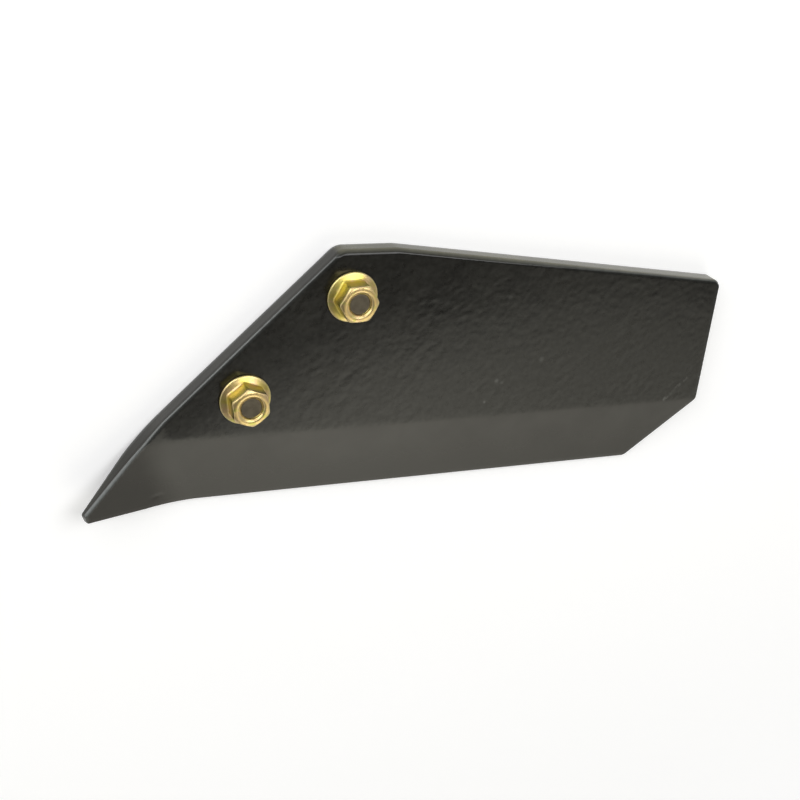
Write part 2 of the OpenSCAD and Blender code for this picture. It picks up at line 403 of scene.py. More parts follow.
@dataclass(frozen=True)
class BlackPaint(Finish):
    """Thin black paint over rough rolled steel, greyer and smoother on the ground bevel. Lengths in millimetres."""

    name: str = "black_paint"
    wear: float = 0.7
    face: Colour = (0.0078, 0.0073, 0.0055)
    ground: Colour = (0.0115, 0.0096, 0.0077)
    # Worn edge colour, partly a painted highlight along the blade's rim.
    edge: Colour = (0.165, 0.175, 0.17)
    # Painted sheen on the sides: a paler colour standing in for light from the bright surroundings.
    side: Colour = (0.088, 0.083, 0.048)
    chip: Colour = (0.2, 0.2, 0.185)
    chip_show: float = 0.4
    chip_level: Span = (3.0, 5.0)
    mottle_run: Span = (0.3, 0.7)
    shade: Span = (0.82, 1.18)
    gloss: float = 0.4
    rough: Span = (0.12, 0.15)
    bevel_rough: float = 0.1
    bevel_even: float = 0.8
    grain_show: float = 0.25
    film: Span = (0.06, 0.38)
    film_run: Span = (0.3, 0.7)
    film_rough: float = 0.3
    film_worn: float = 0.9
    film_tilt: Span = (0.2, 0.8)
    bevel_run: Span = (-46.0, -82.5)
    pit_size: float = 2.6
    pit_detail: float = 1.5
    pit_show: float = 0.6
    # Long lumps whose slope gives the film a painted shading.
    lump_size: float = 4.6
    lump_long: float = 1.6
    lump_run: float = 38.0
    lump_shift: float = 1.6
    lump_show: float = 1.5
    patch_size: float = 22.0
    patch_run: Span = (0.35, 0.7)
    patch_least: float = 0.2
    cloud_size: float = 24.0
    cloud_show: float = 0.5
    core: float = 0.1
    scratch: tuple[Place, Place] = ((218.2, -46.2), (232.4, -31.8))
    scratch_w: float = 1.8
    scratch_end: float = 0.85
    scratch_deep: Span = (-0.3, -0.9)
    scratch_faint: float = 0.35
    break_size: float = 2.0
    break_run: Span = (0.36, 0.6)
    specks: tuple[Speck, ...] = (
        Speck((112.6, 20.8), 1.9, 0.2),
        Speck((136.6, -15.2), 2.2, 0.4),
        Speck((111.6, -25.8), 1.8, 0.6),
        Speck((114.9, -27.3), 1.6, 0.45),
        Speck((106.2, -37.8), 1.2, 0.65),
    )

    def near(self, nodes: Nodes, away: Socket, reach: float) -> Socket:
        """Returns a mask that fades from 1 by a line or place to 0 at its reach."""
        return nodes.step(away, reach * MM, self.core * reach * MM)

    def scratch_mask(self, nodes: Nodes, place: Socket) -> Socket:
        """Mask of the one broken scratch by the clipped corner.

        Args:
            nodes: Nodes of the material.
            place: Place on the object in metres.

        Returns:
            The mask, 1 on the scratch.
        """
        start, end = (np.array(p) for p in self.scratch)
        along = unit(end - start)
        half = float(np.linalg.norm(end - start)) / 2 * MM
        off = nodes.vector("SUBTRACT", "Vector", i0=place, i1=(*((start + end) / 2 * MM), 0.0))
        run, aside = (nodes.vector("DOT_PRODUCT", "Value", i0=off, i1=(*way, 0.0)) for way in (along, left_of(along)))
        inside = nodes.step(nodes.math("ABSOLUTE", run), half, self.scratch_end * half)
        width = self.near(nodes, nodes.math("ABSOLUTE", aside), self.scratch_w)
        deep = nodes.step(run, *(share * half for share in self.scratch_deep))
        broken = nodes.step(nodes.noise(place, self.break_size), *self.break_run)
        shown = nodes.math("MULTIPLY", nodes.math("MAXIMUM", deep, self.scratch_faint), broken)
        return nodes.math("MULTIPLY", nodes.math("MULTIPLY", inside, width), shown)

    def speck_mask(self, nodes: Nodes, place: Socket) -> Socket:
        """Mask of the pale specks.

        Args:
            nodes: Nodes of the material.
            place: Place on the object in metres.

        Returns:
            The mask, 1 on a strong speck.
        """
        flat = nodes.vector("MULTIPLY", "Vector", i0=place, i1=(1.0, 1.0, 0.0))
        mask: Any = 0.0
        for speck in self.specks:
            centre = (speck.place[0] * MM, speck.place[1] * MM, 0.0)
            away = nodes.vector("DISTANCE", "Value", i0=flat, i1=centre)
            spot = nodes.math("MULTIPLY", self.near(nodes, away, speck.reach), speck.strength)
            mask = nodes.math("MAXIMUM", mask, spot)
        return mask

    def lean(self, nodes: Nodes, place: Socket) -> Socket:
        """Painted shading: how far the long lumps of the rolled steel lean to one side, which makes the film heavier
        on one flank of each lump and lighter on the other, as though lit from that side.

        Args:
            nodes: Nodes of the material.
            place: Place on the object in metres.

        Returns:
            The lean, above and below 0, stronger in patches.
        """
        turn = (0.0, 0.0, math.radians(self.lump_run))
        drawn = nodes.add("ShaderNodeMapping", {"vector_type": "TEXTURE"}, Vector=place, Rotation=turn,
                          Scale=(self.lump_long, 1.0, 1.0)).outputs[0]
        ahead = nodes.vector("ADD", "Vector", i0=drawn, i1=(0.0, self.lump_shift * MM, 0.0))
        lean = nodes.math("SUBTRACT", nodes.noise(ahead, self.lump_size), nodes.noise(drawn, self.lump_size))
        patches = nodes.step(nodes.noise(place, self.patch_size), *self.patch_run)
        return nodes.math("MULTIPLY", lean, nodes.math("MAXIMUM", patches, self.patch_least))

    def film_weight(self, nodes: Nodes, spots: bpy.types.NodeOutputs, bevel: Socket, pits: Socket) -> Socket:
        """Weight of the rough film: patchy on the face with painted shading on its lumps, cloudy on the bevel, worn to
        its edge, none on the sides.

        Args:
            nodes: Nodes of the material.
            spots: Outputs of a texture coordinate node.
            bevel: The bevel mark.
            pits: Noise of the small pits.

        Returns:
            The weight.
        """
        place = spots["Object"]
        uneven = nodes.math("MULTIPLY_ADD", pits, self.pit_show, 0.5 - 0.5 * self.pit_show)
        # Painted shading: the film follows the lean of the lumps, as though lit from one side.
        uneven = nodes.math("MULTIPLY_ADD", self.lean(nodes, place), self.lump_show, uneven)
        cloud = nodes.math("MULTIPLY_ADD", nodes.noise(place, self.cloud_size), self.cloud_show,
                           0.5 - 0.5 * self.cloud_show)
        film = nodes.spread(nodes.blend(bevel, uneven, cloud), *self.film, self.film_run)
        down = nodes.step(nodes.axes(place)["Y"], *(y * MM for y in self.bevel_run))
        film = nodes.math("MULTIPLY", film, nodes.math("MULTIPLY_ADD", down, -self.film_worn, 1.0))
        tilt = nodes.math("ABSOLUTE", nodes.axes(spots["Normal"])["Z"])
        return nodes.math("MULTIPLY", film, nodes.step(tilt, *self.film_tilt))

    def body(self, nodes: Nodes, place: Socket, bevel: Socket, mottle: Socket, worn: Socket) -> Socket:
        """Colour of the paint with its worn edges, partly a painted highlight, the painted sheen of its sides, the
        scratch and the specks.

        Args:
            nodes: Nodes of the material.
            place: Place on the object in metres.
            bevel: The bevel mark.
            mottle: The slow mottle, 0 to 1.
            worn: Mask of the worn edges, partly a painted highlight along the rim.

        Returns:
            The colour.
        """
        body = nodes.mix(bevel, self.face, self.ground)
        # Painted sheen on the sides, strongest where they face +Y.
        body = nodes.mix(nodes.mark(Mark.SIDE), body, self.side)
        body = nodes.vector("SCALE", "Vector", i0=body, Scale=nodes.spread(mottle, *self.shade))
        # Worn edges, partly a painted highlight along the rim.
        body = nodes.mix(worn, body, self.edge)
        marks = nodes.math("MAXIMUM", self.scratch_mask(nodes, place), self.speck_mask(nodes, place))
        upper = nodes.step(nodes.axes(place)["Z"], *(z * MM for z in self.chip_level))
        shown = nodes.math("MULTIPLY", marks, nodes.math("MULTIPLY", upper, self.chip_show))
        return nodes.mix(shown, body, self.chip)

    def look(self, nodes: Nodes, base: Base) -> tuple[Socket, dict[str, Any]]:
        """Adds the paint's own nodes.

        Args:
            nodes: Nodes of the material.
            base: What the shared effects give.

        Returns:
            The height for the bump, and the shader's inputs by name.
        """
        spots = nodes.add("ShaderNodeTexCoord").outputs
        bevel = nodes.mark(Mark.BEVEL)
        mottle = nodes.step(base.mottle, *self.mottle_run)
        pits = nodes.noise(spots["Object"], self.pit_size, self.pit_detail)
        rough = nodes.math("ADD", nodes.spread(mottle, *self.rough), nodes.math("MULTIPLY", bevel, self.bevel_rough))
        rolled = nodes.math("MULTIPLY", pits, nodes.math("MULTIPLY_ADD", bevel, -self.bevel_even, 1.0))
        height = nodes.math("ADD", rolled, nodes.math("MULTIPLY", base.grain, self.grain_show))
        return height, {
            "Base_Color": self.body(nodes, spots["Object"], bevel, mottle, base.worn),
            "Roughness": rough,
            "Specular_IOR_Level": self.gloss,
            "Coat_Weight": self.film_weight(nodes, spots, bevel, pits),
            "Coat_Roughness": self.film_rough,
        }


@dataclass(frozen=True)
class YellowZinc(Finish):
    """Yellow passivated zinc plate: gold, pinker on the crown and greener on the flats. Lengths in millimetres."""

    name: str = "yellow_zinc"
    grain_size: float = 0.25
    mottle_size: float = 3.5
    gold: Colour = (0.74, 0.6, 0.13)
    pink: Colour = (0.82, 0.57, 0.29)
    green: Colour = (0.62, 0.57, 0.13)
    edge: Colour = (0.88, 0.78, 0.44)
    blush_size: float = 7.0
    blush_run: Span = (0.4, 0.62)
    crown_rise: Span = (19.8, 21.4)
    crown_show: float = 0.7
    flats_foot: Span = (13.0, 15.0)
    flats_top: Span = (21.0, 19.5)
    flats_show: float = 0.6
    green_run: Span = (0.5, 0.68)
    rough: Span = (0.28, 0.44)
    film: float = 0.25
    film_rough: float = 0.2

    def look(self, nodes: Nodes, base: Base) -> tuple[Socket, dict[str, Any]]:
        """Adds the plating's own nodes.

        Args:
            nodes: Nodes of the material.
            base: What the shared effects give.

        Returns:
            The height for the bump, and the shader's inputs by name.
        """
        place = nodes.add("ShaderNodeTexCoord").outputs["Object"]
        level = nodes.axes(place)["Z"]
        crown, foot, top = (nodes.step(level, *(z * MM for z in span))
                            for span in (self.crown_rise, self.flats_foot, self.flats_top))
        blush = nodes.step(nodes.noise(place, self.blush_size), *self.blush_run)
        blush = nodes.math("MAXIMUM", blush, nodes.math("MULTIPLY", crown, self.crown_show))
        flats = nodes.math("MULTIPLY", foot, top)
        olive = nodes.math("MULTIPLY_ADD", flats, self.flats_show, nodes.step(base.mottle, *self.green_run))
        body = nodes.mix(blush, self.gold, self.pink)
        body = nodes.mix(nodes.math("MINIMUM", olive, 1.0), body, self.green)
        return base.grain, {
            "Base_Color": nodes.mix(base.worn, body, self.edge),
            "Roughness": nodes.spread(base.mottle, *self.rough),
            "Metallic": 1.0,
            "Coat_Weight": self.film,
            "Coat_Roughness": self.film_rough,
        }


@dataclass(frozen=True)
class DarkSteel(Finish):
    """Blackened steel of the bolts, barer on the sheared end. Lengths in millimetres."""

    name: str = "dark_steel"
    grain_size: float = 0.35
    mottle_size: float = 3.0
    bump: float = 0.3
    steel: Colour = (0.115, 0.097, 0.066)
    stain: Colour = (0.088, 0.073, 0.05)
    edge: Colour = (0.2, 0.165, 0.11)
    stain_run: Span = (0.4, 0.65)
    rough: Span = (0.38, 0.6)
    metal: float = 0.5

    def look(self, nodes: Nodes, base: Base) -> tuple[Socket, dict[str, Any]]:
        """Adds the steel's own nodes.

        Args:
            nodes: Nodes of the material.
            base: What the shared effects give.

        Returns:
            The height for the bump, and the shader's inputs by name.
        """
        body = nodes.mix(nodes.step(base.mottle, *self.stain_run), self.steel, self.stain)
        return base.grain, {
            "Base_Color": nodes.mix(base.worn, body, self.edge),
            "Roughness": nodes.spread(base.mottle, *self.rough),
            "Metallic": self.metal,
        }


@dataclass
class SubAssembly:
    """What every piece has: its name, its node, the slot of its finish, and the plate and bolts in millimetres."""

    NAME: ClassVar[str]
    NODE: ClassVar[str]
    SLOT: ClassVar[str]

    plate_t: float = 10.0
    bolt_spacing: float = 72.0
    bolt_line: float = 45.0
    bolts: list[np.ndarray] = field(init=False)

    def __post_init__(self) -> None:
        """Works out the places of the two bolts."""
        reach = heading(self.bolt_line) * self.bolt_spacing / 2
        self.bolts = [reach, -reach]

    def shape(self, shell: Shell) -> None:
        """Adds the piece's points and faces to a shell."""
        raise NotImplementedError

    def build(self) -> bpy.types.Object:
        """Makes the piece.

        Returns:
            One object with closed meshes.
        """
        shell = Shell()
        self.shape(shell)
        return shell.piece(self.NAME)

    def dress(self, piece: bpy.types.Object, material: bpy.types.Material) -> None:
        """Gives a piece its finish and puts it in the place of its node.

        Args:
            piece: The finished piece.
            material: Its finish.
        """
        piece.data.materials.append(material)
        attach(piece, "root")
        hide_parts(self.NODE)


@dataclass(frozen=True)
class RimLine:
    """The rim at each point of the outline: the width of its break, its reach inwards, how worn its edge is with a
    painted highlight, and how strong the painted sheen of its side is.
    """

    width: np.ndarray
    reach: np.ndarray
    wear_highlight: np.ndarray
    pale: np.ndarray


@dataclass(frozen=True)
class BrokenRim:
    """How the rim of the nut side is broken and worn along the outline, with a painted highlight on the worn edge and
    a painted sheen on the sides. Lengths in millimetres.
    """

    width: float = 1.3
    sharp: float = 0.12
    soft: float = 0.25
    lip: float = 0.1
    wear: tuple[float, ...] = (0.3, 0.8, 1.0, 1.0, 0.5, 0.0)
    slanted_way: Span = (0.55, 0.68)
    upper_way: Span = (0.1, 0.5)
    top_way: Span = (0.8, 0.97)
    tip_run: Span = (-62.0, -92.0)
    corner_rise: Span = (5.0, 40.0)
    worn_run: Span = (60.0, 200.0)
    pale_run: Span = (70.0, 45.0)
    narrow_run: Span = (90.0, 190.0)
    # Shares of the worn edge colour, partly a painted highlight: most along the slanted edge, less up its corner, more
    # towards the tip and further out along x.
    wear_highlight_least: float = 0.15
    wear_highlight_outer: float = 0.35
    wear_highlight_slanted: float = 0.85
    wear_highlight_corner: float = 0.4
    wear_highlight_tip: float = 0.4
    # Shares of the painted sheen on the sides: a little everywhere, most where a side faces +Y towards the bright
    # surroundings, less where x is below about 45 mm.
    pale_least: float = 0.12
    pale_corner: float = 0.17
    wide: float = 1.15
    less_slanted: float = 0.65
    more_tip: float = 0.45
    less_outer: float = 0.55

    def along(self, outline: np.ndarray, facing: np.ndarray) -> RimLine:
        """Works out the rim along an outline.

        Args:
            outline: Points of the outline.
            facing: The way that the edge faces at each point.

        Returns:
            The rim at each point.
        """
        x, y = outline.T
        slanted, upper = ease(*self.slanted_way, -facing[:, 0]), ease(*self.upper_way, facing[:, 1])
        tip = ease(*self.tip_run, x)
        # Worn edge with a painted highlight, strongest along the slanted edge.
        worn = self.wear_highlight_slanted - self.wear_highlight_corner * ease(*self.corner_rise, y) + self.wear_highlight_tip * tip
        wear_highlight = self.wear_highlight_least + self.wear_highlight_outer * ease(*self.worn_run, x) + worn * slanted
        # Painted sheen of the side, strongest where it faces +Y.
        cut = 1.0 - self.pale_least - self.pale_corner * ease(*self.pale_run, x)
        pale = self.pale_least + cut * ease(*self.top_way, facing[:, 1])
        less = (self.less_slanted - self.more_tip * tip) * slanted + self.less_outer * ease(*self.narrow_run, x)
        width = self.sharp + (self.width * (self.wide - less) - self.sharp) * upper
        return RimLine(width, width + np.minimum(width, self.soft), wear_highlight, pale)

    def profile(self, line: RimLine) -> list[Ring]:
        """Works out the steps across the break.

        Args:
            line: The rim at each point.

        Returns:
            For each step, how far it lies inwards and down, and how worn it is.
        """
        width, reach, soft, lip = line.width, line.reach, self.soft * line.width, self.lip * line.width
        inwards = (reach, width, width - soft, soft, lip, 0.0)
        down = (np.zeros(len(width)), lip, soft, width - soft, width, reach)
        return list(zip(inwards, down, self.wear))


@dataclass(frozen=True)
class RolledSkin:
    """Pits, lumps and waves of the rolled steel, quieter by the bolts. Lengths in millimetres, the run in degrees."""

    depth: float = 0.017
    run: float = 38.0
    long: float = 1.2
    lumps: tuple[Lump, ...] = ((3.2, 0.3, 1.0), (1.8, 7.1, 0.55))
    wave: Lump = (13.0, 3.7, 0.9)
    patch: Span = (34.0, 5.2)
    patch_lift: float = 0.25
    patch_run: Span = (-0.35, 0.35)
    patch_least: float = 0.35
    quiet_run: Span = (-10.0, 45.0)
    quiet_least: float = 0.3

    def sink(self, flat: np.ndarray) -> np.ndarray:
        """Depth of the skin below a smooth plate.

        Args:
            flat: Places on the unbent plate.

        Returns:
            One depth for each place, above and below 0.
        """
        drawn = heading(self.run)
        stretched = np.column_stack([flat @ drawn / self.long, flat @ left_of(drawn)])
        lumps = sum(share * ripple(stretched, size, level) for size, level, share in self.lumps)
        size, level, share = self.wave
        waves = share * ripple(flat, size, level)
        patches = ease(*self.patch_run, ripple(flat, *self.patch) + self.patch_lift)
        patches = self.patch_least + (1.0 - self.patch_least) * patches
        quiet = self.quiet_least + (1.0 - self.quiet_least) * ease(*self.quiet_run, flat[:, 0])
        return self.depth * (quiet * patches * lumps + waves)


@dataclass(frozen=True)
class Dent:
    """A small dent: its place, the way it runs, and how long, wide and deep it is. Millimetres and degrees."""

    place: Place = (-64.5, -76.7)
    run: float = 12.0
    length: float = 2.6
    width: float = 0.9
    depth: float = 0.24

    def sink(self, flat: np.ndarray) -> np.ndarray:
        """Returns the depth of the dent at each place."""
        off, run = flat - np.array(self.place), heading(self.run)
        return self.depth * np.exp(-((off @ run / self.length) ** 2) - (off @ left_of(run) / self.width) ** 2)


@dataclass
class WingBlade(SubAssembly):
    """The bevelled blade with its bent tip, made flat first and then folded. Sizes in millimetres and degrees."""

    NAME: ClassVar[str] = "blade"
    NODE: ClassVar[str] = "wing_blade"
    SLOT: ClassVar[str] = "black_paint"

    top_reach: float = 48.7
    edge_reach: float = 82.5
    outer_reach: float = 240.5
    inner_inset: float = 21.75
    shoulder_x: float = 48.0
    top_fall: float = 7.2
    corner_clip: float = 36.0
    corner_r: float = 4.0
    top_r: float = 9.0
    shoulder_r: float = 25.0
    kink_r: float = 60.0
    tip_r: float = 1.9
    arc_steps: int = 7
    bevel_w: float = 36.5
    edge_t: float = 2.5
    bevel_soft: float = 0.22
    bevel_fade: Span = (1.0, -1.2)
    bevel_even: float = 0.9
    bend_x: float = 72.0
    bend_skew: float = 22.0
    bend_angle: float = 19.0
    bend_r: float = 67.0
    tip_turn: float = 3.5
    tip_w: float = 5.0
    hole_w: float = 12.3
    hole_sides: int = 32
    sink_d: float = 24.3
    sink_h: float = 1.3
    cone_h: float = 6.0
    mouth_round: tuple[Place, ...] = ((0.0, 0.5), (0.12, 0.15), (0.5, 0.0))
    under_round: float = 0.35
    under_turns: tuple[float, ...] = (0.0, 22.0, 45.0, 68.0, 90.0)
    under_wear: float = 0.6
    wall_rows: tuple[float, ...] = (0.25, 0.5, 0.75)
    rim_step: float = 1.1
    rim_clear: float = 0.45
    widest_clear: float = 2.0
    hole_clear: float = 0.5
    hole_core: float = 0.5
    weld: float = 1e-7
    rim: BrokenRim = BrokenRim()
    skin: RolledSkin = RolledSkin()
    dent: Dent = Dent()
    cut_y: float = field(init=False)
    bevel_y: float = field(init=False)
    bend_len: float = field(init=False)
    across: np.ndarray = field(init=False)
    along: np.ndarray = field(init=False)
    bend_start: np.ndarray = field(init=False)
    outline: np.ndarray = field(init=False)

    def __post_init__(self) -> None:
        """Works out the lines of the blade from its sizes."""
        super().__post_init__()
        self.cut_y = -self.edge_reach
        self.bevel_y = self.cut_y + self.bevel_w
        self.across = heading(180 + self.bend_skew)
        self.along = left_of(self.across)
        self.bend_len = self.bend_r * math.radians(self.bend_angle)
        self.bend_start = np.array([-self.bend_x, self.bevel_y]) - self.across * self.bend_len / 2
        self.outline = self.trace()

    def trace(self) -> np.ndarray:
        """Outline of the unbent blade.

        Returns:
            Points of the outline, anticlockwise, about a step apart.
        """
        inner_dir = left_of(heading(self.bolt_line))
        inner_v = (self.inner_inset - self.bend_start @ inner_dir) / (self.along @ inner_dir)
        edge_v = (self.cut_y - self.bend_start[1]) / self.along[1]
        tip_dir = heading(self.bolt_line + self.tip_turn)
        tip_slope = (tip_dir @ self.along) / (tip_dir @ self.across)
        edge_slope = self.along[0] / self.across[0]
        tip_s = (edge_v - inner_v - self.tip_w) / (tip_slope - edge_slope)
        tip = self.bend_start + self.across * tip_s
        fall = (self.outer_reach - self.shoulder_x) * math.tan(math.radians(self.top_fall))
        corners = [
            (tip + self.along * (edge_v + edge_slope * tip_s), self.tip_r),
            ((self.outer_reach - self.corner_clip, self.cut_y), self.corner_r),
            ((self.outer_reach, self.cut_y + self.corner_clip), self.corner_r),
            ((self.outer_reach, self.top_reach - fall), self.corner_r),
            ((self.shoulder_x, self.top_reach), self.shoulder_r),
            (((self.top_reach * inner_dir[1] - self.inner_inset) / -inner_dir[0], self.top_reach), self.top_r),
            (self.bend_start + self.along * inner_v, self.kink_r),
            (tip + self.along * (inner_v + tip_slope * tip_s), self.tip_r),
        ]
        places = [np.array(place) for place, _ in corners]
        loop: list[np.ndarray] = []
        for number, (_, radius) in enumerate(corners):
            loop += self.rounded(places[number - 1], places[number], places[(number + 1) % len(places)], radius)
        spaced: list[np.ndarray] = []
        for here, there in zip(loop, loop[1:] + loop[:1]):
            parts = max(1, round(float(np.linalg.norm(there - here)) / self.rim_step))
            spaced += [here + (there - here) * part / parts for part in range(parts)]
        return np.array(spaced)

    def rounded(self, before: np.ndarray, corner: np.ndarray, after: np.ndarray, radius: float) -> list[np.ndarray]:
        """Arc that rounds one corner.

        Args:
            before: Corner before it.
            corner: The corner itself.
            after: Corner after it.
            radius: Radius of the arc.

        Returns:
            Points of the arc.
        """
        back, forth = unit(before - corner), unit(after - corner)
        half = math.acos(float(back @ forth)) / 2
        centre = corner + unit(back + forth) * radius / math.sin(half)
        start, end = (corner + way * radius / math.tan(half) - centre for way in (back, forth))
        return [centre + radius * unit(start * (1 - t) + end * t) for t in np.linspace(0.0, 1.0, self.arc_steps)]

    def facing(self) -> np.ndarray:
        """Returns the way that the edge faces at each point of the outline."""
        return -left_of_rows(np.roll(self.outline, -1, axis=0) - np.roll(self.outline, 1, axis=0))

    def inward(self) -> np.ndarray:
        """Returns the way inwards from the side after each point of the outline."""
        return left_of_rows(np.roll(self.outline, -1, axis=0) - self.outline)

    def inset(self, way: Any) -> np.ndarray:
        """Moves the outline inwards.

        Args:
            way: How far, or one value for each point.

        Returns:
            The moved points.
        """
        inward = self.inward()
        before = np.roll(inward, 1, axis=0)
        mitre = (inward + before) / (1 + np.sum(inward * before, axis=1))[:, None]
        return self.outline + np.broadcast_to(way, len(mitre))[:, None] * mitre

    def fold(self, flat: np.ndarray, depth: np.ndarray) -> np.ndarray:
        """Places of points of the unbent plate once its tip is bent.

        Args:
            flat: Places on the unbent plate.
            depth: Depth of each below the nut side.

        Returns:
            Places in the part's frame.
        """
        off = flat - self.bend_start
        past, run = off @ self.across, off @ self.along
        angle = np.clip(past / self.bend_len, 0.0, 1.0) * math.radians(self.bend_angle)
        straight = np.maximum(past - self.bend_len, 0.0)
        radius = self.bend_r + depth
        out = np.minimum(past, 0.0) + radius * np.sin(angle) + straight * np.cos(angle)
        rise = self.bend_r - radius * np.cos(angle) + straight * np.sin(angle)
        plan = self.bend_start + out[:, None] * self.across + run[:, None] * self.along
        return np.column_stack([plan, self.plate_t + rise])

    def on_bevel(self, flat: np.ndarray) -> np.ndarray:
        """Returns how far each place lies on the bevel, 0 to 1."""
        return ease(*(self.bevel_y + off for off in self.bevel_fade), flat[:, 1])

    def surface(self, flat: np.ndarray) -> np.ndarray:
        """Depth of the nut side below the flat plate: the soft-edged bevel, the rolled skin and the dent.

        Args:
            flat: Places on the unbent plate.

        Returns:
            One depth for each place.
        """
        fall = (self.bevel_y - flat[:, 1]) / self.bevel_w * (self.plate_t - self.edge_t)
        bevel = (fall + np.sqrt(fall * fall + self.bevel_soft ** 2)) / 2
        rolled = 1.0 - self.bevel_even * self.on_bevel(flat)
        return np.maximum(bevel, 0.0) + (rolled * self.skin.sink(flat) + self.dent.sink(flat))

    def grid(self, ring: np.ndarray, reach: float, holes: list[np.ndarray], gap: float) -> np.ndarray:
        """Points in a triangle pattern inside the outline and clear of the holes.

        Args:
            ring: Points round the outside.
            reach: How far the ring lies inside the outline, at most.
            holes: Points round each hole.
            gap: How far apart the points are.

        Returns:
            The points.
        """
        low, high = ring.min(0), ring.max(0)
        rows = []
        for row, y in enumerate(np.arange(low[1], high[1], gap * math.sqrt(3) / 2)):
            xs = np.arange(low[0] + (row % 2) * gap / 2, high[0], gap)
            rows.append(np.column_stack([xs, np.full(len(xs), y)]))
        points = np.vstack(rows)
        depth = np.full(len(points), np.inf)
        for start, way in zip(self.outline, self.inward()):
            np.minimum(depth, (points - start) @ way, out=depth)
        keep = depth > reach + self.rim_clear * min(gap, self.widest_clear)
        for hole, centre in zip(holes, self.bolts):
            mouth = np.linalg.norm(hole - centre, axis=1).max()
            keep &= np.linalg.norm(points - centre, axis=1) > mouth + self.hole_clear
        return points[keep]

    def fill(self, ring: np.ndarray, holes: list[np.ndarray], inside: np.ndarray) -> np.ndarray:
        """Fills an outline with triangles, leaving its holes open.

        Args:
            ring: Points round the outside.
            holes: Points round each hole.
            inside: Points inside.

        Returns:
            Triangles numbered through ring, holes and inside points in turn.
        """
        loops = [ring, *holes]
        starts = np.cumsum([0, *(len(loop) for loop in loops)])
        edges = [(int(first) + n, int(first) + (n + 1) % len(loop)) for first, loop in zip(starts, loops)
                 for n in range(len(loop))]
        every = np.vstack([*loops, inside])
        made = geometry.delaunay_2d_cdt([Vector(p) for p in every], edges, [], INSIDE_ONLY, self.weld)
        source = [numbers[0] for numbers in made[3]]
        triangles = np.array([[source[n] for n in face] for face in made[2]])
        middle = every[triangles].mean(axis=1)
        solid = np.ones(len(triangles), bool)
        for number, (hole, centre) in enumerate(zip(holes, self.bolts), 1):
            within = (triangles >= starts[number]) & (triangles < starts[number + 1])
            solid &= ~np.all(within, axis=1)
            core = self.hole_core * np.linalg.norm(hole - centre, axis=1).min()
            solid &= np.linalg.norm(middle - centre, axis=1) > core
        return triangles[solid]

    def sides(self, shell: Shell, rim: RimLine) -> list[np.ndarray]:
        """Makes the broken rim, the sides and the rounded lower edge.

        Args:
            shell: Shell to add them to.
            rim: The rim along the outline.

        Returns:
            Point numbers of each row, from the nut side to the underside.
        """
        rows: list[np.ndarray] = []
        # Rim rows carry the worn edge with its painted highlight and the painted sheen of the side.
        for way, drop, worn in self.rim.profile(rim):
            flat = self.inset(way)
            top = self.fold(flat, self.surface(flat) + drop)
            rows.append(shell.add(top, worn * rim.wear_highlight, self.on_bevel(flat), rim.pale * drop / rim.reach))
        upper = self.surface(self.outline) + rim.reach
        lower = np.full(len(upper), self.plate_t - self.under_round)
        for share in self.wall_rows:
            rows.append(shell.add(self.fold(self.outline, upper + (lower - upper) * share), side=rim.pale))
        for turn in np.radians(self.under_turns):
            flat = self.inset(self.under_round * (1 - math.cos(turn)))
            under = self.fold(flat, lower + self.under_round * math.sin(turn))
            rows.append(shell.add(under, self.under_wear * math.cos(turn), side=rim.pale * math.cos(turn)))
        shell.bridge(rows)
        return rows

    def holes(self, shell: Shell) -> list[list[tuple[np.ndarray, np.ndarray]]]:
        """Makes the walls of the two countersunk square holes.

        Args:
            shell: Shell to add them to.

        Returns:
            For each hole, the places and point numbers of its square mouth and its round mouth.
        """
        turns = np.radians(np.arange(self.hole_sides) * (360.0 / self.hole_sides))
        turned = turns + math.radians(self.bolt_line)
        ways = np.column_stack([np.cos(turned), np.sin(turned)])
        square = self.hole_w / 2 / np.maximum(np.abs(np.cos(turns)), np.abs(np.sin(turns)))
        circle = np.full(len(turns), self.sink_d / 2)
        steps = [(square, self.plate_t), (square, self.sink_h + self.cone_h), (circle, self.sink_h)]
        steps += [(circle + out, height) for out, height in self.mouth_round]
        made = []
        for centre in self.bolts:
            rows = []
            for radius, height in steps:
                flat = centre + ways * radius[:, None]
                rows.append((flat, shell.add(np.column_stack([flat, np.full(len(flat), height)]))))
            shell.bridge([row for _, row in rows])
            made.append([rows[0], rows[-1]])
        return made

    def shape(self, shell: Shell) -> None:
        """Makes the blade as one closed mesh.

        Args:
            shell: Shell to add it to.
        """
        rim = self.rim.along(self.outline, self.facing())
        rows = self.sides(shell, rim)
        mouths = self.holes(shell)
        faces = ((0, rows[0], rim.reach, Fill.FINE), (1, rows[-1], self.under_round, Fill.COARSE))
        for end, row, way, fineness in faces:
            ring, loops = self.inset(way), [mouth[end][0] for mouth in mouths]
            inside = self.grid(ring, float(np.max(way)), loops, fineness.value)
            triangles = self.fill(ring, loops, inside)
            if fineness is Fill.FINE:
                points = shell.add(self.fold(inside, self.surface(inside)), 0.0, self.on_bevel(inside))
            else:
                points = shell.add(self.fold(inside, np.full(len(inside), self.plate_t)))
            numbers = np.concatenate([row, *(mouth[end][1] for mouth in mouths), points])
            shell.faces += [tuple(face) for face in numbers[triangles].tolist()]


